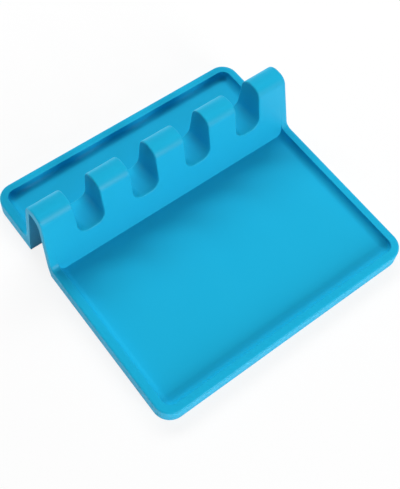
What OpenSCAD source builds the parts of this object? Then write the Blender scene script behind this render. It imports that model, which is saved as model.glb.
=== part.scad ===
// Spoon rest moulded in one piece of silicone: two shallow drip trays with a hollow bridge between
// them, and four slots across the bridge for the handles. The moulding is drawn as its separate
// regions, which meet face to face: tray floors, tray rims, bridge walls, teeth and slot troughs.
// The origin is on the table under the middle of the part. X runs along the bridge, Y to the rear.

/* [Overall] */
// Width along the bridge, measured on the table
body_w = 200; // [190:1:240]
// Height of the bridge above the table
bridge_h = 57.4; // [50:0.1:68]
// Depth of the bridge on the table, from the foot of its front wall to the foot of its rear wall
bridge_d = 33.1; // [30:0.1:42]
// Depth of the front tray, from the front edge to the bridge
front_tray_d = 122; // [80:1:150]
// Depth of the rear tray, from the bridge to the rear edge
rear_tray_d = 40.9; // [30:0.1:70]

/* [Trays] */
// Height of the rims above the table
rim_h = 12; // [10:0.5:15]
// Width of the flat top of the rims
rim_w = 5.8; // [4.5:0.1:7]
// Thickness of the tray floors
floor_t = 6.2; // [3:0.1:7]
// Radius of the outer corners, seen from above
corner_r = 12; // [12:0.5:20]
// Radius of the cove between a rim and the floor
cove_r = 5; // [2:0.25:5]
// Radius of the outer top edge of the rims
rim_edge_r = 1.4; // [0.6:0.1:2]
// Radius with which the rims sweep up into the bridge
sweep_r = 5; // [3:0.5:8]

/* [Bridge] */
// Thickness of the bridge's walls
wall_t = 4.2; // [3:0.1:4.6]
// Lean of the front wall from upright, in degrees
front_lean = 11.3; // [6:0.1:14]
// Lean of the rear wall from upright, in degrees
rear_lean = 4.7; // [2:0.1:9]
// Thickness of the bridge's level top
top_t = 6.2; // [4.2:0.1:8]
// Radius of the bend between the front wall and the top
bend_r = 7.2; // [5.5:0.1:9.5]
// Radius of the bend between the top and the rear wall
crest_r = 10; // [2:0.1:12]
// Radius of the bend inside the hollow, at the front
hollow_bend_r = 7.5; // [2:0.1:9]
// Radius of the bend inside the hollow, at the rear
hollow_crest_r = 2; // [0.5:0.1:3]
// Draft of the bridge's two ends above the rims, in degrees
draft = 3.3; // [1:0.1:4]

/* [Slots] */
// Number of slots across the bridge
slot_count = 4; // [2:1:4]
// Distance from slot to slot
slot_pitch = 42.8; // [40:0.1:44]
// Width of a slot
slot_w = 20.2; // [16:0.2:22]
// Height of a slot's floor at the front wall
slot_floor_h = 27.7; // [22:0.1:32]
// Fall of a slot's floor towards the rear, in degrees
slot_fall = 10; // [4:0.5:12]
// Radius of the two lower corners of a slot
slot_corner_r = 7.5; // [4:0.1:7.8]

/* [Hidden] */
tooth_count = slot_count + 1;
silicone = "#22a9dc";
// Straight steps in each quarter or smaller arc of a profile
arc_steps = 12;
$fn = 96;
// How far a cutter runs past what it cuts
overrun = 1;
// The level part of the top that the bends always leave
least_flat = 0.5;
half_w = body_w / 2;
body_d = front_tray_d + bridge_d + rear_tray_d;
// Place along Y of the bridge's front foot
front_foot = front_tray_d - body_d / 2;
// Height at which the rims' upright sides end and the draft of the bridge's ends begins
side_h = rim_h - rim_edge_r;
// The cove can't be larger than the wall it runs down, or than the corner leaves room for
cove = min(cove_r, rim_h - floor_t, corner_r - rim_w);

// Points of an arc, in order from one angle to the other
function arc(centre, r, from, to) =
    [for (i = [0:arc_steps]) let (a = from + (to - from) * i / arc_steps) centre + r * [cos(a), sin(a)]];

// Where the line through p along d crosses the line through q along e
function meet(p, d, q, e) = p + d * cross(q - p, e) / cross(d, e);

// The bridge seen from its end, with its front foot at 0 and the table at 0.
// Each of its faces has a direction and an outward normal.
front_dir = [sin(front_lean), cos(front_lean)];
front_out = [-cos(front_lean), sin(front_lean)];
rear_dir = [-sin(rear_lean), cos(rear_lean)];
rear_out = [cos(rear_lean), sin(rear_lean)];
level_dir = [1, 0];

// The walls' lines moved inwards by a distance
function front_line(inset) = -inset * front_out;
function rear_line(inset) = [bridge_d, 0] - inset * rear_out;
function foot_front(inset) = meet(front_line(inset), front_dir, [0, 0], level_dir);
function foot_rear(inset) = meet(rear_line(inset), rear_dir, [0, 0], level_dir);

// Centre of a bend that touches a wall's line, moved inwards, and a level line at a height
function front_centre(inset, top, r) = meet(front_line(inset + r), front_dir, [0, top - r], level_dir);
function rear_centre(inset, top, r) = meet(rear_line(inset + r), rear_dir, [0, top - r], level_dir);
function front_bend(inset, top, r) = arc(front_centre(inset, top, r), r, 180 - front_lean, 90);
function rear_bend(inset, top, r) = arc(rear_centre(inset, top, r), r, 90, rear_lean);

// How far such a centre moves along the level line for each unit of radius
front_reach = 1 / cos(front_lean) - tan(front_lean);
rear_reach = 1 / cos(rear_lean) - tan(rear_lean);

// Outside, the rear bend is limited by the room between the front bend and the rear wall
outer_room = rear_centre(0, bridge_h, 0)[0] - front_centre(0, bridge_h, bend_r)[0] - least_flat;
outer_front_bend = front_bend(0, bridge_h, bend_r);
outer_rear_bend = rear_bend(0, bridge_h, min(crest_r, outer_room / rear_reach));

// Inside, the front bend is limited by the room between the front wall and the rear bend
hollow_top = bridge_h - top_t;
inner_room = rear_centre(wall_t, hollow_top, hollow_crest_r)[0] - front_centre(wall_t, hollow_top, 0)[0]
    - least_flat;
inner_front_bend = front_bend(wall_t, hollow_top, min(hollow_bend_r, inner_room / front_reach));
inner_rear_bend = rear_bend(wall_t, hollow_top, hollow_crest_r);

module bridge_outside() {
    polygon(concat([foot_front(0)], outer_front_bend, outer_rear_bend, [foot_rear(0)]));
}

module bridge_hollow() {
    polygon(concat([foot_front(wall_t)], inner_front_bend, inner_rear_bend, [foot_rear(wall_t)]));
}

module front_wall_section() {
    polygon([foot_front(0), outer_front_bend[0], inner_front_bend[0], foot_front(wall_t)]);
}

module rear_wall_section() {
    polygon([foot_rear(wall_t), inner_rear_bend[arc_steps], outer_rear_bend[arc_steps], foot_rear(0)]);
}

module tooth_section() {
    polygon(concat(
        outer_front_bend,
        outer_rear_bend,
        [for (i = [arc_steps:-1:0]) inner_rear_bend[i]],
        [for (i = [arc_steps:-1:0]) inner_front_bend[i]]
    ));
}

// Carries a section of the bridge along X, between two places
module along_bridge(x0, x1) {
    translate([x0, front_foot, 0])
        rotate([90, 0, 90])
            linear_extrude(x1 - x0) children();
}

// Everything between the two sides: upright as far as the rims, then drafted up to the top
module between_sides() {
    top_x = half_w - (bridge_h - side_h) * tan(draft);
    rotate([90, 0, 0])
        linear_extrude(2 * body_d, center = true)
            polygon([
                [-half_w, 0], [half_w, 0], [half_w, side_h],
                [top_x, bridge_h], [-top_x, bridge_h], [-half_w, side_h]
            ]);
}

// A slot seen from the front: straight sides and two rounded lower corners, grown by a wall
module slot_section(grow) {
    side = slot_w / 2 + grow;
    corner_x = slot_w / 2 - slot_corner_r;
    polygon(concat(
        [[-side, bridge_h]],
        arc([-corner_x, slot_corner_r], slot_corner_r + grow, 180, 270),
        arc([corner_x, slot_corner_r], slot_corner_r + grow, 270, 360),
        [[side, bridge_h]]
    ));
}

// One slot as a solid, pivoted where its floor leaves the front wall and falling to the rear
module slot_solid(grow) {
    translate([0, front_foot + slot_floor_h * tan(front_lean), slot_floor_h])
        rotate([90 - slot_fall, 0, 0])
            linear_extrude(2 * bridge_d, center = true) slot_section(grow);
}

function slot_x(k) = (k - (slot_count + 1) / 2) * slot_pitch;

module all_slots() {
    for (k = [1:slot_count])
        translate([slot_x(k), 0, 0]) slot_solid(0);
}

// A rim from its outer side inwards: upright side, rounded edge, flat top, cove and underside
module rim_section() {
    polygon(concat(
        [[0, 0]],
        arc([rim_edge_r, side_h], rim_edge_r, 180, 90),
        [[rim_w, rim_h]],
        arc([rim_w + cove, floor_t + cove], cove, 180, 270),
        [[rim_w + cove, 0]]
    ));
}

// A straight rim that starts at the origin and runs along X, with the tray on its +Y side
module rim_run(length) {
    rotate([90, 0, 90])
        linear_extrude(length) rim_section();
}

// A quarter turn of rim about its own centre, between the -X and -Y sides
module rim_corner() {
    rotate([0, 0, 180])
        rotate_extrude(angle = 90)
            translate([corner_r, 0]) mirror([1, 0]) rim_section();
}

// Where a rim meets a wall of the bridge, it sweeps up on an arc that touches both
module rim_sweep(lean) {
    knee = [rim_h * tan(lean), rim_h];
    reach = sweep_r / tan((90 + lean) / 2);
    centre = knee + [-reach, sweep_r];
    rotate([90, 0, 90])
        linear_extrude(rim_w)
            polygon(concat(
                [[centre[0], side_h]],
                arc(centre, sweep_r, 270, 360 - lean),
                [[side_h * tan(lean), side_h]]
            ));
}

// The rim round three sides of a tray whose outer edge is at Y = 0, open towards the bridge
module tray_rim(depth, lean) {
    run = depth + bridge_d / 2 - corner_r;
    translate([corner_r - half_w, 0, 0]) rim_run(body_w - 2 * corner_r);
    for (side = [0, 1])
        mirror([side, 0, 0]) {
            translate([corner_r - half_w, corner_r, 0]) rim_corner();
            translate([-half_w, corner_r + run, 0])
                rotate([0, 0, -90]) rim_run(run);
            intersection() {
                translate([-half_w, depth, 0]) rim_sweep(lean);
                between_sides();
            }
        }
}

// The flat floor inside the rim's cove, with its two outer corners rounded to match
module tray_floor(depth) {
    inset = rim_w + cove;
    r = corner_r - inset;
    x = half_w - inset;
    linear_extrude(floor_t)
        polygon(concat(
            arc([r - x, inset + r], r, 180, 270),
            arc([x - r, inset + r], r, 270, 360),
            [[x, depth + bridge_d / 2], [-x, depth + bridge_d / 2]]
        ));
}

// Leaves out what reaches into the bridge
module up_to_bridge() {
    difference() {
        children();
        along_bridge(-half_w - overrun, half_w + overrun) bridge_outside();
    }
}

module front_tray_floor() {
    color(silicone)
        up_to_bridge()
            translate([0, -body_d / 2, 0]) tray_floor(front_tray_d);
}

module front_tray_rim() {
    color(silicone)
        up_to_bridge()
            translate([0, -body_d / 2, 0]) tray_rim(front_tray_d, front_lean);
}

module rear_tray_floor() {
    color(silicone)
        up_to_bridge()
            translate([0, body_d / 2, 0]) mirror([0, 1, 0]) tray_floor(rear_tray_d);
}

module rear_tray_rim() {
    color(silicone)
        up_to_bridge()
            translate([0, body_d / 2, 0]) mirror([0, 1, 0]) tray_rim(rear_tray_d, rear_lean);
}

// The front wall stands between the drafted sides, with the slots cut down into it
module bridge_front_wall() {
    color(silicone)
        difference() {
            intersection() {
                along_bridge(-half_w, half_w) front_wall_section();
                between_sides();
            }
            all_slots();
        }
}

module bridge_rear_wall() {
    color(silicone)
        difference() {
            intersection() {
                along_bridge(-half_w, half_w) rear_wall_section();
                between_sides();
            }
            all_slots();
        }
}

// A tooth is the bend and the top of the bridge, from the middle of one slot to the next
module tooth(k) {
    x0 = k == 1 ? -half_w : slot_x(k - 1);
    x1 = k == tooth_count ? half_w : slot_x(k);
    color(silicone)
        difference() {
            intersection() {
                along_bridge(x0, x1) tooth_section();
                between_sides();
            }
            all_slots();
        }
}

// A trough is the wall round a slot, as far as it lies inside the hollow of the bridge
module slot_trough(k) {
    color(silicone)
        intersection() {
            along_bridge(-half_w, half_w) bridge_hollow();
            translate([slot_x(k), 0, 0])
                difference() {
                    slot_solid(wall_t);
                    slot_solid(0);
                }
        }
}

front_tray_floor();
front_tray_rim();
rear_tray_floor();
rear_tray_rim();
bridge_front_wall();
bridge_rear_wall();
for (k = [1:tooth_count]) tooth(k);
for (k = [1:slot_count]) slot_trough(k);
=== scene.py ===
"""Spoon rest in one piece of silicone: two rimmed trays, a hollow bridge and four slots for handles.

The moulding is one closed skin, worked out with numpy from the same sizes as the CAD model. It stands
for all the CAD nodes. The frame is X along the bridge, Y to the rear and Z up, and the moulding stands
on Z = 0.
"""

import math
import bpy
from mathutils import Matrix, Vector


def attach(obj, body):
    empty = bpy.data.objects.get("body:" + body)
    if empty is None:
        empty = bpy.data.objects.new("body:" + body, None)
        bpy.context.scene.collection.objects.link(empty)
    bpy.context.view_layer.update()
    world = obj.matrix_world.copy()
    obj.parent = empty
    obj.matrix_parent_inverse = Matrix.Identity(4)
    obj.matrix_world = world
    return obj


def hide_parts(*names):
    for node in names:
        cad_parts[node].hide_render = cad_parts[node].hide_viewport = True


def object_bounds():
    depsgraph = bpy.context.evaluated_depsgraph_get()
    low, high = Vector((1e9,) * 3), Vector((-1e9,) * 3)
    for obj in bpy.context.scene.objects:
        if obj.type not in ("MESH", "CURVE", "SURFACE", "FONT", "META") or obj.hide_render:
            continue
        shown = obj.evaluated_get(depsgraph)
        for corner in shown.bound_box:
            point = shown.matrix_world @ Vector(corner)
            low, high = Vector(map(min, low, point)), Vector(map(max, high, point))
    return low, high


bl_info = {
    "name": "Spoon rest",
    "version": (1, 0, 0),
    "blender": (4, 5, 0),
    "location": "3D View > Sidebar > Spoon rest",
    "description": "Builds a silicone spoon rest with its table, camera and lamps",
    "category": "Object",
}

import bmesh
import bpy
import numpy as np
from bpy.props import FloatProperty, FloatVectorProperty, IntProperty, PointerProperty
from mathutils import Vector

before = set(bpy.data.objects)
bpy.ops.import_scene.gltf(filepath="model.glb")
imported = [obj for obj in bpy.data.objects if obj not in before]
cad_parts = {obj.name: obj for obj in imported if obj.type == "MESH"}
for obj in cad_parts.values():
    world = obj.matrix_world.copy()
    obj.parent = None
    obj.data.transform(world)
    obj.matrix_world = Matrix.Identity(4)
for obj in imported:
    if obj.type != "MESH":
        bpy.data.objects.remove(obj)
CAD_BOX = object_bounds()
CAD_SIZE = CAD_BOX[1] - CAD_BOX[0]

# Steps of the skin's grids
BEND_STEPS, TOP_STEPS, CREST_STEPS = 14, 3, 18
FLANK_STEPS, ARC_STEPS, SLOT_FLOOR_STEPS = 8, 12, 8
MOUTH_STEPS = 2 * (FLANK_STEPS + ARC_STEPS) + SLOT_FLOOR_STEPS
EDGE_STEPS, SIDE_STEPS, FLAT_STEPS, LIP_STEPS, COVE_STEPS = 6, 2, 3, 4, 12
END_TOOTH_STEPS, TOOTH_STEPS = 8, 14
WALL_STEPS, RUN_STEPS, SWEEP_STEPS, CORNER_STEPS = 10, 16, 8, 16
# Columns of a wall that end on a rim's section instead of on the tray's floor
RIM_STEPS = FLAT_STEPS + LIP_STEPS + 1 + COVE_STEPS
# Points closer than this, in metres, are made one
WELD = 2e-6
# Edges sharper than this are shaded sharp
SHARP = math.radians(32)
# How far the lines down a wall stray at its foot, as shares of a slot's half-width: past the slot's edge
# from the top of a flank and from its lower end, and from the slot's middle for the ends of its floor
FLANK_TOP_STRAY, FLANK_END_STRAY, FLOOR_END_STRAY = 1 / 3, 1 / 9, 0.35
# The share of the inner edge's rounding that is gone at the top of the sweep
LIP_LOSS = 0.75


def length(name, description, default):
    return FloatProperty(
        name=name, description=description, default=default, min=0, unit="LENGTH", precision=4)


def fraction(name, description, default):
    return FloatProperty(
        name=name, description=description, default=default, min=0, max=1, subtype="FACTOR")


def watts(name, description, default):
    return FloatProperty(name=name, description=description, default=default, min=0, unit="POWER")


def angle(name, description, degrees):
    return FloatProperty(
        name=name, description=description, default=math.radians(degrees), subtype="ANGLE")


def colour(name, description, default):
    return FloatVectorProperty(
        name=name, description=description, default=default, size=3, min=0, max=1, subtype="COLOR")


class TraySizes(bpy.types.PropertyGroup):
    front_depth: length("Front tray", "Depth of the front tray, up to the bridge", 0.122)
    rear_depth: length("Rear tray", "Depth of the rear tray, up to the bridge", 0.0409)
    rim_height: length("Rim height", "Height of the rims above the table", 0.012)
    rim_width: length("Rim width", "Width of the rims, from the outer side to the inner side", 0.0058)
    floor: length("Floor", "Thickness of the tray floors", 0.0062)
    corner: length("Corners", "Radius of the outer corners, seen from above", 0.012)
    cove: length("Cove", "Radius between a rim's inner side and the floor", 0.005)
    rim_edge: length("Outer edge", "Rounding of the rims' outer top edge", 0.0014)
    lip_edge: length("Inner edge", "Rounding of the rims' inner top edge", 0.0005)
    sweep: length("Sweep", "Radius with which the rims sweep up into the bridge", 0.005)


class BridgeSizes(bpy.types.PropertyGroup):
    width: length("Width", "Width on the table, along the bridge", CAD_SIZE.x)
    height: length("Height", "Height of the level top above the table", 0.0574)
    depth: length("Depth", "Distance from the foot of the front wall to the foot of the rear wall", 0.0331)
    wall: length("Wall", "Thickness of the walls", 0.0042)
    top_wall: length("Top", "Thickness of the level top", 0.0062)
    bend: length("Front bend", "Radius between the front wall and the top", 0.0072)
    crest: length("Rear bend", "Radius between the top and the rear wall", 0.010)
    hollow_bend: length("Hollow's front bend", "Radius inside the hollow, at the front", 0.0075)
    hollow_crest: length("Hollow's rear bend", "Radius inside the hollow, at the rear", 0.002)
    edge: length("Edges", "Rounding of the bridge's ends and of the slots' edges", 0.0011)
    front_lean: angle("Front lean", "Lean of the front wall from upright", 11.3)
    rear_lean: angle("Rear lean", "Lean of the rear wall from upright", 4.7)
    draft: angle("Draft", "Draft of the bridge's two ends above the rims", 3.3)


class SlotSizes(bpy.types.PropertyGroup):
    count: IntProperty(name="Slots", description="Number of slots", default=4, min=1)
    pitch: length("Pitch", "Distance from slot to slot", 0.0428)
    width: length("Width", "Width of a slot", 0.0202)
    floor_height: length("Floor height", "Height of a slot's floor at the front wall", 0.0277)
    corner: length("Corner", "Radius of a slot's two lower corners", 0.0075)
    fall: angle("Fall", "Fall of a slot's floor towards the rear", 10)


class SiliconeLook(bpy.types.PropertyGroup):
    base: colour("Colour", "Colour of the silicone", (0.012, 0.435, 0.695))
    deep: colour("Deep colour", "Colour of its slightly deeper clouds", (0.010, 0.418, 0.675))
    roughness: fraction("Roughness", "Roughness of the satin surface", 0.45)
    grain: length("Grain", "Size of the fine grain left by the mould", 0.0004)


class StudioLook(bpy.types.PropertyGroup):
    table: colour("Table", "Colour of the table", (0.96, 0.96, 0.96))
    shadow: fraction("Shadow", "Share of the table's shading that the camera sees on the white", 0.14)
    mirrored: fraction("Mirrored table", "Share of the white that mirroring surfaces see on the table", 0.5)
    front: watts("Front lamp", "Power of the tall lamp in front", 18.9)
    rear: watts("Rear lamp", "Power of the wide lamp behind", 26.9)
    left_strip: watts("Left strip", "Power of the thin strip that stands on the table at the left", 6.3)
    lamp_distance: length("Lamp distance", "Distance from the lamps to the middle of the table", 1.5)
    sky: FloatProperty(
        name="Surroundings", description="Strength of the surrounding light", default=0.0, min=0)


# Each lamp's angle round the table, from the front towards +X, and its angle above it, in degrees, then
# its width and height in metres
LAMPS = {
    "front": (5, 21, 0.6, 0.65),
    "rear": (155, 50, 2.2, 0.5),
    "left_strip": (270, 0.24, 1.2, 0.011),
}


class SpoonRest(bpy.types.PropertyGroup):
    trays: PointerProperty(type=TraySizes)
    bridge: PointerProperty(type=BridgeSizes)
    slots: PointerProperty(type=SlotSizes)
    silicone: PointerProperty(type=SiliconeLook)
    studio: PointerProperty(type=StudioLook)


# Lines and grids


def between(a, b, steps):
    """Straight lines from a to b, as a new axis before the last: a + (b - a) * w, with w from 0 to 1."""
    w = np.linspace(0, 1, steps + 1)[:, None]
    return a[..., None, :] * (1 - w) + b[..., None, :] * w


def rounded(a, corner, b, steps):
    """A round over a corner, from a to b: (1 - w)^2 a + 2 w (1 - w) corner + w^2 b."""
    w = np.linspace(0, 1, steps + 1)[:, None]
    ends = a[..., None, :] * (1 - w) ** 2 + b[..., None, :] * w**2
    return ends + corner[..., None, :] * 2 * w * (1 - w)


def filled(top, bottom, left, right, across, down):
    """A flat patch inside four curves: the blend of top and bottom, plus the blend of left and right, less
    the blend of the four corners that both hold. across and down are the shares of its columns and rows."""
    u, w = across[None, :, None], down[:, None, None]
    rows = (1 - w) * top[None] + w * bottom[None]
    columns = (1 - u) * left[:, None] + u * right[:, None]
    corners = (1 - w) * ((1 - u) * top[0] + u * top[-1]) + w * ((1 - u) * bottom[0] + u * bottom[-1])
    return rows + columns - corners


def mirrored(patch):
    """The patch on the other side of the plane X = 0."""
    return patch * np.array([-1.0, 1.0, 1.0])


def with_x(x, section):
    """Points of a section in the YZ plane, carried to the places x."""
    x = np.broadcast_to(x, section.shape[:-1])
    return np.concatenate([x[..., None], section], axis=-1)


def cross(a, b):
    """The one part of two flat vectors' cross product that isn't zero: a0 b1 - a1 b0."""
    return a[..., 0] * b[..., 1] - a[..., 1] * b[..., 0]


def meet(p, d, q, e):
    """Where the line through p along d crosses the line through q along e:
    p + d * ((q - p) x e) / (d x e)."""
    return p + d * (cross(q - p, e) / cross(d, e))[..., None]


def heading(radians):
    """The flat direction at an angle from the first axis: (cos, sin)."""
    return np.stack([np.cos(radians), np.sin(radians)], axis=-1)


def skin(name, patches):
    """One closed mesh from grids of points, whose shared edges hold the same points and are welded."""
    points, faces, start = [], [], 0
    for patch in patches:
        rows, columns = patch.shape[:2]
        index = start + np.arange(rows * columns).reshape(rows, columns)
        corners = [index[:-1, :-1], index[:-1, 1:], index[1:, 1:], index[1:, :-1]]
        faces.append(np.stack(corners, -1).reshape(-1, 4))
        points.append(patch.reshape(-1, 3))
        start += rows * columns
    mesh = bpy.data.meshes.new(name)
    mesh.from_pydata(np.concatenate(points).tolist(), [], np.concatenate(faces).tolist())
    work = bmesh.new()
    work.from_mesh(mesh)
    bmesh.ops.remove_doubles(work, verts=work.verts, dist=WELD)
    bmesh.ops.dissolve_degenerate(work, edges=work.edges, dist=WELD)
    bmesh.ops.recalc_face_normals(work, faces=work.faces)
    open_edges = sum(len(e.link_faces) != 2 for e in work.edges)
    work.to_mesh(mesh)
    work.free()
    if open_edges:
        raise RuntimeError(f"the skin has {open_edges} open edges")
    mesh.polygons.foreach_set("use_smooth", np.ones(len(mesh.polygons), bool))
    mesh.set_sharp_from_angle(angle=SHARP)
    piece = bpy.data.objects.new(name, mesh)
    bpy.context.scene.collection.objects.link(piece)
    weights = piece.modifiers.new("Flat faces stay flat", "WEIGHTED_NORMAL")
    weights.keep_sharp = True
    return piece


# The moulding


class EndView:
    """The bridge's outside or its hollow, seen from the end, as points (y, z).

    The front line leans back from its foot and runs into an arc that touches it and the level top. A second
    arc touches the top and the rear line. An inset moves both lines inwards, along their normals.
    """

    def __init__(self, settings, inset, top, bend, crest):
        b, t = settings.bridge, settings.trays
        foot = (b.depth + t.front_depth + t.rear_depth) / -2 + t.front_depth
        lean, back = b.front_lean, b.rear_lean
        self.front_dir = np.array([math.sin(lean), math.cos(lean)])
        self.front_out = np.array([-math.cos(lean), math.sin(lean)])
        self.rear_dir = np.array([-math.sin(back), math.cos(back)])
        self.rear_out = np.array([math.cos(back), math.sin(back)])
        level = np.array([1.0, 0.0])
        self.front_at = np.array([foot, 0]) - inset * self.front_out
        self.rear_at = np.array([foot + b.depth, 0]) - inset * self.rear_out
        bend_line, crest_line = np.array([0, top - bend]), np.array([0, top - crest])
        bend_centre = meet(self.front_at - bend * self.front_out, self.front_dir, bend_line, level)
        crest_centre = meet(self.rear_at - crest * self.rear_out, self.rear_dir, crest_line, level)
        bend_out = heading(np.linspace(math.pi - lean, math.pi / 2, BEND_STEPS + 1))
        crest_out = heading(np.linspace(math.pi / 2, back, CREST_STEPS + 1))
        bend_arc, crest_arc = bend_centre + bend * bend_out, crest_centre + crest * crest_out
        flat = between(bend_arc[-1], crest_arc[0], TOP_STEPS)[1:-1]
        self.crown = np.concatenate([bend_arc, flat, crest_arc])
        self.out = np.concatenate([bend_out, np.tile(bend_out[-1], (len(flat), 1)), crest_out])
        walked = np.concatenate([[0], np.cumsum(np.linalg.norm(np.diff(self.crown, axis=0), axis=1))])
        self.share = walked / walked[-1]
        self.front_foot = meet(self.front_at, self.front_dir, np.zeros(2), level)
        self.rear_foot = meet(self.rear_at, self.rear_dir, np.zeros(2), level)


def outside_view(settings):
    """The bridge's outside, whose two bends meet the level top."""
    b = settings.bridge
    return EndView(settings, 0, b.height, b.bend, b.crest)


def hollow_view(settings):
    """The hollow, a wall further in, with bends of its own."""
    b = settings.bridge
    return EndView(settings, b.wall, b.height - b.top_wall, b.hollow_bend, b.hollow_crest)


def end_x(settings, z):
    """The left side's place at a height z: upright as far as the rim's rounded edge, at a height e, then
    drafted, (z - e) * tan(draft) further in."""
    b, t = settings.bridge, settings.trays
    return np.maximum(z - (t.rim_height - t.rim_edge), 0) * math.tan(b.draft) - b.width / 2


class Mouth:
    """A slot's opening in the front and the rear of the bridge, and how its edge is rounded.

    Seen along the slot's axis it is a left flank, a quarter arc, a floor, a quarter arc and a right flank,
    grown by a wall. Each point is carried along the axis to the front line and to the rear line; the flanks
    go on up those lines to the two ends of the crown.
    """

    def __init__(self, settings, view, centre, grow):
        s = settings.slots
        self.side = s.width / 2 + grow
        self.centre = centre
        half_floor = s.width / 2 - s.corner
        turn = np.linspace(math.pi, 1.5 * math.pi, ARC_STEPS + 1)
        arc_x, arc_h = np.array([-half_floor, s.corner])[:, None] + (s.corner + grow) * heading(turn).T
        floor_x = np.linspace(-half_floor, half_floor, SLOT_FLOOR_STEPS + 1)[1:-1]
        flank, floor = np.ones(FLANK_STEPS), np.ones(SLOT_FLOOR_STEPS - 1)
        x = np.concatenate([-self.side * flank, arc_x, floor_x, -arc_x[::-1], self.side * flank])
        h = np.concatenate([s.corner * flank, arc_h, -grow * floor, arc_h[::-1], s.corner * flank])
        out_x = np.concatenate([-flank, np.cos(turn), 0 * floor, -np.cos(turn)[::-1], flank])
        out_h = np.concatenate([0 * flank, np.sin(turn), -floor, np.sin(turn)[::-1], 0 * flank])
        climb = np.linspace(1, 0, FLANK_STEPS + 1)[:-1]
        middle = np.zeros(2 * ARC_STEPS + SLOT_FLOOR_STEPS + 1)
        rise = np.concatenate([climb, middle, climb[::-1]])[:, None]
        axis = np.array([math.cos(s.fall), -math.sin(s.fall)])
        up = np.array([math.sin(s.fall), math.cos(s.fall)])
        outside = outside_view(settings)
        start = outside.front_at + outside.front_dir * s.floor_height / outside.front_dir[1]
        lines = start + h[:, None] * up
        arc_top = start + s.corner * up

        def opening(at, along, crown_point, crown_out, inwards):
            """The mouth on one wall: its points, the ways out along the wall and the ways into the slot."""
            face = meet(lines, np.tile(axis, (len(h), 1)), at, along)
            low = meet(arc_top, axis, at, along)
            face = face + rise * (crown_point - low)
            stretch = 1 / (up @ along)
            out = np.stack([stretch * out_x, out_h], -1)
            out /= np.linalg.norm(out, axis=1, keepdims=True)
            away = with_x(out[:, 0], out[:, 1:] * along)
            into = (1 - rise) * inwards - rise * crown_out
            into /= np.linalg.norm(into, axis=1, keepdims=True)
            return with_x(x + centre, face), away, with_x(0.0, into)

        self.front = opening(view.front_at, view.front_dir, view.crown[0], view.out[0], axis)
        self.rear = opening(view.rear_at, view.rear_dir, view.crown[-1], view.out[-1], -axis)


def mouth_patches(view, mouth, edge):
    """A slot's rounded edge, and the walls and floor inside it.

    The edge is a round over the mouth's curve, which ends on the bridge's outside and inside the slot. The
    floor and corners are straight lines from the front of the mouth to its rear, and the flanks are filled
    flat between those lines and the crown.
    """
    patches, inner = [], []
    for face, away, into in (mouth.front, mouth.rear):
        inner.append(face + edge * into)
        if edge:
            patches.append(rounded(face + edge * away, face, inner[-1], EDGE_STEPS))
    low = slice(FLANK_STEPS, MOUTH_STEPS - FLANK_STEPS + 1)
    u = view.share[None, :, None]
    patches.append((1 - u) * inner[0][low, None] + u * inner[1][low, None])
    down = np.linspace(0, 1, FLANK_STEPS + 1)
    for side in (-1, 1):
        order = slice(None) if side < 0 else slice(None, None, -1)
        left, right = inner[0][order][: FLANK_STEPS + 1], inner[1][order][: FLANK_STEPS + 1]
        corner = with_x(mouth.centre + side * mouth.side, view.crown)
        top = with_x(mouth.centre + side * mouth.side, view.crown - edge * view.out)
        if edge:
            patches.append(rounded(corner + np.array([side * edge, 0, 0]), corner, top, EDGE_STEPS))
        bottom = left[-1] * (1 - view.share[:, None]) + right[-1] * view.share[:, None]
        patches.append(filled(top, bottom, left, right, view.share, down))
    return patches


def crown_and_castle(settings, view, mouths, edge, end_steps):
    """The tops of the teeth, and the lines along the front and rear where the walls end above.

    A tooth's top is the crown carried from one slot's edge to the next, or to the drafted side. The line
    along a wall follows the teeth and goes down and up round each slot's mouth.
    """
    patches = []
    lines = ([], [])
    left = end_x(settings, view.crown[:, 1]) + edge
    stops = [left]
    for mouth in mouths:
        stops += [mouth.centre - mouth.side - edge, mouth.centre + mouth.side + edge]
    stops.append(-left)
    for k in range(len(mouths) + 1):
        steps = end_steps if k in (0, len(mouths)) else TOOTH_STEPS
        tooth = between(with_x(stops[2 * k], view.crown), with_x(stops[2 * k + 1], view.crown), steps)
        patches.append(tooth)
        lines[0].append(tooth[0] if k == 0 else tooth[0][1:])
        lines[1].append(tooth[-1] if k == 0 else tooth[-1][1:])
        if k < len(mouths):
            for line, (face, away, _) in zip(lines, (mouths[k].front, mouths[k].rear)):
                line.append((face + edge * away)[1:])
    return patches, np.concatenate(lines[0]), np.concatenate(lines[1])


def foot_places(mouths, edge, left, right, end_steps):
    """Places along a wall's foot, one below each point of the line above: those below a flank are spread a
    little to the tooth's side, so that no line down the wall crosses a slot."""
    marks, places = [0], [left]
    at = end_steps
    for mouth in mouths:
        steps = (0, FLANK_STEPS, FLANK_STEPS + ARC_STEPS)
        past_edge = [mouth.side + edge + mouth.side * stray for stray in (FLANK_TOP_STRAY, FLANK_END_STRAY)]
        reach = [*past_edge, mouth.side * FLOOR_END_STRAY]
        marks += [at + n for n in steps] + [at + MOUTH_STEPS - n for n in steps[::-1]]
        places += [mouth.centre - r for r in reach] + [mouth.centre + r for r in reach[::-1]]
        at += MOUTH_STEPS + TOOTH_STEPS
    marks.append(at - TOOTH_STEPS + end_steps)
    places.append(right)
    return np.interp(np.arange(marks[-1] + 1), marks, places)


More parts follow.
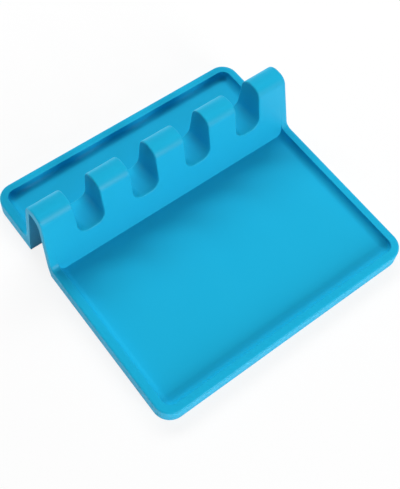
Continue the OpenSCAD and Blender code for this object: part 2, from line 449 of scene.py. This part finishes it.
def side_band(settings, edge_line, out, radius, low_line):
    """The left side up to its rounded edge, as rows of points on the drafted side and then over the edge.

    For each point of the edge's line: straight from the low point to a point one radius under the edge,
    then a round to a point one radius inwards. Points on the side have X from the draft.
    """
    under = edge_line - radius[:, None] * out
    low, high = (with_x(end_x(settings, p[:, 1]), p) for p in (low_line, under))
    corner = with_x(end_x(settings, edge_line[:, 1]), edge_line)
    inward = corner + radius[:, None] * np.array([1.0, 0.0, 0.0])
    side = between(low, high, SIDE_STEPS)
    return np.concatenate([side, rounded(high, corner, inward, EDGE_STEPS)[:, 1:]], axis=1)


def tray_patches(settings, foot, inwards, lean, depth, castle, hollow_foot, hollow_x, mouths):
    """One tray with its rim, its floor, its underside and the wall of the bridge that stands on it.

    Places are worked out as (x, v, z), with v measured from the wall's foot towards the bridge. The rim's
    section is carried straight along the left, up the sweep to the wall, and round the corners.
    """
    t, b = settings.trays, settings.bridge
    corner_v = t.corner - depth
    knee = t.rim_height * math.tan(lean)
    reach = t.sweep / math.tan((math.pi / 2 + lean) / 2)
    sweep_v = knee - reach
    climb = np.linspace(0, 1, SWEEP_STEPS + 1)[1:]
    turn = 1.5 * math.pi + (math.pi / 2 - lean) * climb
    run_v = np.linspace(corner_v, sweep_v, RUN_STEPS + 1)
    flat = np.tile([0.0, 1.0], (RUN_STEPS + 1, 1))
    run = np.stack([run_v, np.full_like(run_v, t.rim_height)], -1)
    swept = np.array([sweep_v, t.rim_height + t.sweep]) + t.sweep * heading(turn)
    edge_line = np.concatenate([run, swept])
    out = np.concatenate([flat, -heading(turn)])
    later = np.concatenate([np.zeros(RUN_STEPS + 1), climb])
    radius = t.rim_edge + (b.edge - t.rim_edge) * later
    # How far along the sweep each height has gone when it meets the wall
    base_v = np.concatenate([run_v, np.full(SWEEP_STEPS, sweep_v)])

    def towards_wall(z, end_v):
        """A line at the height z along the rim, which ends at end_v as the sweep meets the wall."""
        return np.stack([base_v + (end_v - sweep_v) * later, np.full_like(base_v, z)], -1)

    band = side_band(settings, edge_line, out, radius, towards_wall(0.0, hollow_foot))
    inner_x = t.rim_width - b.width / 2
    lip = t.lip_edge * (1 - LIP_LOSS * later)
    over = with_x(inner_x, edge_line)
    before = over - lip[:, None] * np.array([1.0, 0.0, 0.0])
    after = with_x(inner_x, edge_line - lip[:, None] * out)
    quarter = heading(np.linspace(math.pi, 1.5 * math.pi, COVE_STEPS + 1))
    cove_x, cove_z = (np.array([t.rim_width + t.cove, t.floor + t.cove]) + t.cove * quarter).T
    cove = [with_x(x - b.width / 2, towards_wall(z, z * math.tan(lean))) for x, z in zip(cove_x, cove_z)]
    rim = np.concatenate([
        band,
        between(band[:, -1], before, FLAT_STEPS)[:, 1:],
        rounded(before, over, after, LIP_STEPS)[:, 1:],
        np.stack(cove, axis=1),
    ], axis=1)

    # Round the corner and along the outer side: the section at the start of the run, turned about the corner
    section_in = rim[0, :, 0] + b.width / 2
    section_z = rim[0, :, 2]
    turned = heading(np.linspace(math.pi, 1.5 * math.pi, CORNER_STEPS + 1))
    bend = turned[:, None, :] * (t.corner - section_in)[:, None]
    corner = np.stack([
        bend[..., 0] + t.corner - b.width / 2,
        bend[..., 1] + corner_v,
        np.broadcast_to(section_z, bend.shape[:2]),
    ], -1)
    floor_steps = len(castle) - 1 - 2 * RIM_STEPS
    straight = between(corner[-1], mirrored(corner[-1]), floor_steps - 2 * CORNER_STEPS)
    straight = np.moveaxis(straight, 1, 0)
    outer = np.concatenate([corner, straight[1:-1], mirrored(corner)[::-1]])

    # The wall: straight lines from the rim's end, the floor or the other rim's end up to the castle
    left_foot = rim[-1, SIDE_STEPS + EDGE_STEPS:]
    foot_x = foot_places(mouths, b.edge, left_foot[-1, 0], -left_foot[-1, 0], END_TOOTH_STEPS)
    foot_line = with_x(foot_x, np.tile(left_foot[-1, 1:], (len(foot_x), 1)))
    wall_foot = np.concatenate([left_foot, foot_line[1:-1], mirrored(left_foot)[::-1]])
    top = np.stack([castle[:, 0], (castle[:, 1] - foot) * inwards, castle[:, 2]], -1)
    wall = between(wall_foot, top, WALL_STEPS)

    def sheet(edge_column, outer_line, wall_line):
        """A level sheet from the outer line to the wall's, in rows as far apart as the edge's points."""
        share = (edge_column[:, 1] - edge_column[0, 1]) / (edge_column[-1, 1] - edge_column[0, 1])
        share = share[:, None, None]
        return (1 - share) * outer_line[None] + share * wall_line[None]

    floor = sheet(rim[:, -1], outer[:, -1], foot_line)
    hollow_line = with_x(hollow_x, np.tile([hollow_foot, 0.0], (len(hollow_x), 1)))
    under = sheet(rim[:, 0], outer[:, 0], hollow_line)

    patches = [rim, mirrored(rim), outer, wall, floor, under]
    placed = [np.stack([p[..., 0], foot + inwards * p[..., 1], p[..., 2]], -1) for p in patches]
    sweep_end = np.array([foot + inwards * edge_line[-1, 0], edge_line[-1, 1]])
    return placed, sweep_end


def moulding_patches(settings):
    """Every patch of the moulding: the outside, the hollow, the two ends and the two trays."""
    t, b, s = settings.trays, settings.bridge, settings.slots
    outside, inside = outside_view(settings), hollow_view(settings)
    centres = (np.arange(s.count) - (s.count - 1) / 2) * s.pitch
    outer_mouths = [Mouth(settings, outside, c, 0) for c in centres]
    inner_mouths = [Mouth(settings, inside, c, b.wall) for c in centres]

    patches, front_castle, rear_castle = crown_and_castle(
        settings, outside, outer_mouths, b.edge, END_TOOTH_STEPS + RIM_STEPS)
    for mouth in outer_mouths:
        patches += mouth_patches(outside, mouth, b.edge)

    teeth, inner_front, inner_rear = crown_and_castle(settings, inside, inner_mouths, 0.0, END_TOOTH_STEPS)
    patches += teeth
    for mouth in inner_mouths:
        patches += mouth_patches(inside, mouth, 0.0)
    hollow_x = foot_places(inner_mouths, 0.0, end_x(settings, 0), -end_x(settings, 0), END_TOOTH_STEPS)
    for castle, at in ((inner_front, inside.front_foot), (inner_rear, inside.rear_foot)):
        wall = between(with_x(hollow_x, np.tile(at, (len(hollow_x), 1))), castle, WALL_STEPS)
        # Each row is drawn out along X until its two ends lie on the bridge's ends
        wall[..., 0] *= end_x(settings, wall[0, :, 2]) / wall[0, :, 0]
        patches.append(wall)

    front_foot, rear_foot = outside.front_foot[0], outside.rear_foot[0]
    front, front_sweep = tray_patches(
        settings, front_foot, 1, b.front_lean, t.front_depth, front_castle,
        inside.front_foot[0] - front_foot, hollow_x, outer_mouths)
    rear, rear_sweep = tray_patches(
        settings, rear_foot, -1, b.rear_lean, t.rear_depth, rear_castle,
        rear_foot - inside.rear_foot[0], hollow_x, outer_mouths)
    patches += front + rear

    # The bridge's end: a ring from the hollow's outline to the outer outline, with its rounded edge
    up = between(front_sweep, outside.crown[0], WALL_STEPS)
    down = between(outside.crown[-1], rear_sweep, WALL_STEPS)
    inner_up = between(inside.front_foot, inside.crown[0], WALL_STEPS)
    inner_down = between(inside.crown[-1], inside.rear_foot, WALL_STEPS)
    edge_line = np.concatenate([up[:-1], outside.crown, down[1:]])
    front_out, rear_out = (np.tile(way, (WALL_STEPS, 1)) for way in (outside.front_out, outside.rear_out))
    out = np.concatenate([front_out, outside.out, rear_out])
    low_line = np.concatenate([inner_up[:-1], inside.crown, inner_down[1:]])
    ring = side_band(settings, edge_line, out, np.full(len(edge_line), b.edge), low_line)
    return patches + [ring, mirrored(ring)]


# Materials


class Wire:
    """A node's output. Sums, products and the like of wires and numbers add Math nodes."""

    def __init__(self, tree, socket):
        self.tree, self.socket = tree, socket

    def maths(self, operation, first, second):
        return self.tree.add("ShaderNodeMath", {"operation": operation}, {0: first, 1: second})

    def __add__(self, other):
        return self.maths("ADD", self, other)

    def __sub__(self, other):
        return self.maths("SUBTRACT", self, other)

    def __mul__(self, other):
        return self.maths("MULTIPLY", self, other)

    def __rsub__(self, other):
        return self.maths("SUBTRACT", other, self)

    def at_most(self, other):
        return self.maths("MINIMUM", self, other)

    def at_least(self, other):
        return self.maths("MAXIMUM", self, other)

    __radd__ = __add__
    __rmul__ = __mul__


class Tree:
    """A material's or the world's nodes, emptied and ready for new ones."""

    def __init__(self, owner):
        owner.use_nodes = True
        self.nodes, self.links = owner.node_tree.nodes, owner.node_tree.links
        self.nodes.clear()

    def add(self, kind, settings=None, inputs=None, output=0):
        """Adds a node with its settings, then its inputs as values or wires, and returns one output."""
        node = self.nodes.new(kind)
        for name, value in (settings or {}).items():
            setattr(node, name, value)
        for name, value in (inputs or {}).items():
            if isinstance(value, Wire):
                self.links.new(value.socket, node.inputs[name])
            else:
                node.inputs[name].default_value = value
        return Wire(self, node.outputs[output]) if node.outputs else node


# Waves to a metre of the clouds and of the patches of sheen, and how far each moves the roughness
CLOUDS_TO_A_METRE, PATCHES_TO_A_METRE = 22.0, 95.0
CLOUD_SHEEN, PATCH_SHEEN = 0.04, 0.10
# Waves of the noise to the width of one grain, the strength of the grain's relief and its height in metres
WAVES_TO_A_GRAIN, RELIEF, RELIEF_HEIGHT = 0.5, 0.12, 0.0001
# Refraction of silicone, and the level of its mirroring, where 0.5 is that of the refraction itself
REFRACTION, MIRRORING = 1.41, 0.25


def silicone_material(look):
    """Satin silicone: faint deeper clouds, a fine grain from the mould, and soft patches of more or less
    sheen. The roughness is the given one, plus (noise - 1/2) * sheen for the clouds and the patches."""
    material = bpy.data.materials.new("satin_silicone")
    tree = Tree(material)
    place = tree.add("ShaderNodeTexCoord", output="Object")

    def noise(scale, detail, roughness):
        return tree.add("ShaderNodeTexNoise", inputs={
            "Vector": place, "Scale": scale, "Detail": detail, "Roughness": roughness})

    clouds = noise(CLOUDS_TO_A_METRE, detail=2.0, roughness=0.5)
    patches = noise(PATCHES_TO_A_METRE, detail=3.0, roughness=0.6)
    grain = noise(WAVES_TO_A_GRAIN / look.grain, detail=2.0, roughness=0.55)
    # A Mix node's colours are its sockets 6 and 7 and its output 2
    tint = tree.add("ShaderNodeMix", {"data_type": "RGBA"}, {
        0: clouds, 6: (*look.base, 1.0), 7: (*look.deep, 1.0)}, output=2)
    middle = look.roughness - (PATCH_SHEEN + CLOUD_SHEEN) / 2
    roughness = patches * PATCH_SHEEN + clouds * CLOUD_SHEEN + middle
    relief = tree.add("ShaderNodeBump", inputs={
        "Strength": RELIEF, "Distance": RELIEF_HEIGHT, "Height": grain})
    surface = tree.add("ShaderNodeBsdfPrincipled", inputs={
        "Base Color": tint, "Roughness": roughness, "Normal": relief,
        "IOR": REFRACTION, "Specular IOR Level": MIRRORING})
    tree.add("ShaderNodeOutputMaterial", inputs={"Surface": surface})
    return material


def straight_rays(tree, share):
    """1 for camera rays, the given share for glossy and transmission rays, and 0 for the rest."""
    camera, glossy, transmission = (
        tree.add("ShaderNodeLightPath", output=f"Is {kind} Ray")
        for kind in ("Camera", "Glossy", "Transmission"))
    return (camera + (glossy + transmission) * share).at_most(1.0)


# The table's half width, how far it lies under the moulding so that the two don't share a plane, and
# where its shading has faded out, all in metres
TABLE_HALF, TABLE_DROP, FADED = 4.0, 0.0001, 1.3


def table_material(look):
    """A matt white table. The camera sees it white, but for the given share of its own shading and shadow.
    The share is multiplied by max(0, min(1, FADED - distance from the middle)), so that no horizon shows."""
    material = bpy.data.materials.new("white_table")
    tree = Tree(material)
    shade = tree.add("ShaderNodeBsdfDiffuse", inputs={"Color": (*look.table, 1.0)})
    white = tree.add("ShaderNodeEmission", inputs={"Color": (1, 1, 1, 1), "Strength": 1.0})
    place = tree.add("ShaderNodeTexCoord", output="Object")
    distance = tree.add("ShaderNodeVectorMath", {"operation": "LENGTH"}, {0: place}, output="Value")
    near = (FADED - distance).at_most(1.0).at_least(0.0)
    shown = tree.add("ShaderNodeMixShader", inputs={
        0: straight_rays(tree, look.mirrored) * (1 - near * look.shadow), 1: shade, 2: white})
    tree.add("ShaderNodeOutputMaterial", inputs={"Surface": shown})
    return material


# Operators


class SPOONREST_OT_moulding(bpy.types.Operator):
    """Builds the moulding's skin and hides the CAD nodes that it stands for"""
    bl_idname = "spoonrest.moulding"
    bl_label = "Moulding"

    def execute(self, context):
        settings = context.scene.spoon_rest
        piece = skin("moulding", moulding_patches(settings))
        piece.data.materials.append(silicone_material(settings.silicone))
        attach(piece, "root")
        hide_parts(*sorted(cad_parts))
        return {"FINISHED"}


class SPOONREST_OT_stage(bpy.types.Operator):
    """Lays the table under the moulding and makes the white surroundings"""
    bl_idname = "spoonrest.stage"
    bl_label = "Table and surroundings"

    def execute(self, context):
        look = context.scene.spoon_rest.studio
        mesh = bpy.data.meshes.new("table")
        corners = np.array([[-1, -1], [1, -1], [1, 1], [-1, 1]]) * TABLE_HALF
        heights = np.full((4, 1), -TABLE_DROP)
        mesh.from_pydata(np.concatenate([corners, heights], 1).tolist(), [], [(0, 1, 2, 3)])
        table = bpy.data.objects.new("table", mesh)
        table.data.materials.append(table_material(look))
        context.scene.collection.objects.link(table)
        world = bpy.data.worlds.new("surroundings")
        context.scene.world = world
        tree = Tree(world)
        sky = tree.add("ShaderNodeBackground", inputs={"Color": (1, 1, 1, 1), "Strength": look.sky})
        white = tree.add("ShaderNodeBackground", inputs={"Color": (1, 1, 1, 1), "Strength": 1.0})
        shown = tree.add("ShaderNodeMixShader", inputs={0: straight_rays(tree, 1.0), 1: sky, 2: white})
        tree.add("ShaderNodeOutputWorld", inputs={"Surface": shown})
        return {"FINISHED"}


# The camera's place in metres, its turn in degrees about X, Y and Z, its lens and sensor in millimetres,
# and the nearest that it sees, in metres
CAMERA_PLACE = (-0.20130, -0.21729, 0.51919)
CAMERA_TURN = (28.586, -3.179, -37.442)
LENS, SENSOR, NEAREST = 64.503, 36.0, 0.01


class SPOONREST_OT_camera(bpy.types.Operator):
    """Sets up the camera at the photograph's place, with its long side across the sensor's width"""
    bl_idname = "spoonrest.camera"
    bl_label = "Camera"

    def execute(self, context):
        data = bpy.data.cameras.new("camera")
        data.lens, data.sensor_width = LENS, SENSOR
        data.clip_start = NEAREST
        camera = bpy.data.objects.new("camera", data)
        camera.location = CAMERA_PLACE
        camera.rotation_euler = [math.radians(a) for a in CAMERA_TURN]
        context.scene.collection.objects.link(camera)
        context.scene.camera = camera
        return {"FINISHED"}


class SPOONREST_OT_lamps(bpy.types.Operator):
    """Puts the soft lamps round the table, all aimed at its middle; only the front one is mirrored"""
    bl_idname = "spoonrest.lamps"
    bl_label = "Lamps"

    def execute(self, context):
        look = context.scene.spoon_rest.studio
        for name, (*angles, width, height) in LAMPS.items():
            data = bpy.data.lights.new(name, "AREA")
            data.shape = "RECTANGLE"
            data.size, data.size_y = width, height
            data.energy = getattr(look, name)
            lamp = bpy.data.objects.new(name, data)
            round_table, up = (math.radians(a) for a in angles)
            level = math.cos(up)
            away = Vector((math.sin(round_table) * level, -math.cos(round_table) * level, math.sin(up)))
            lamp.location = look.lamp_distance * away
            lamp.rotation_euler = (-away).to_track_quat("-Z", "Y").to_euler()
            lamp.visible_glossy = name == "front"
            context.scene.collection.objects.link(lamp)
        return {"FINISHED"}


class SPOONREST_PT_panel(bpy.types.Panel):
    """The spoon rest's sizes and looks, with a button for each step"""
    bl_idname = "SPOONREST_PT_panel"
    bl_label = "Spoon rest"
    bl_space_type = "VIEW_3D"
    bl_region_type = "UI"
    bl_category = "Spoon rest"

    def draw(self, context):
        settings = context.scene.spoon_rest
        for group in (settings.trays, settings.bridge, settings.slots, settings.silicone, settings.studio):
            box = self.layout.box()
            for name in group.bl_rna.properties.keys():
                if name not in ("rna_type", "name"):
                    box.prop(group, name)
        for operator in OPERATORS:
            self.layout.operator(operator.bl_idname)


GROUPS = (TraySizes, BridgeSizes, SlotSizes, SiliconeLook, StudioLook, SpoonRest)
OPERATORS = (SPOONREST_OT_moulding, SPOONREST_OT_stage, SPOONREST_OT_camera, SPOONREST_OT_lamps)
CLASSES = GROUPS + OPERATORS + (SPOONREST_PT_panel,)


def register():
    for item in CLASSES:
        bpy.utils.register_class(item)
    bpy.types.Scene.spoon_rest = PointerProperty(type=SpoonRest)


def unregister():
    del bpy.types.Scene.spoon_rest
    for item in reversed(CLASSES):
        bpy.utils.unregister_class(item)


def main():
    register()
    bpy.ops.spoonrest.moulding()
    bpy.ops.spoonrest.stage()
    bpy.ops.spoonrest.camera()
    bpy.ops.spoonrest.lamps()
    bpy.context.scene.view_settings.view_transform = "Standard"


if __name__ == "__main__":
    main()
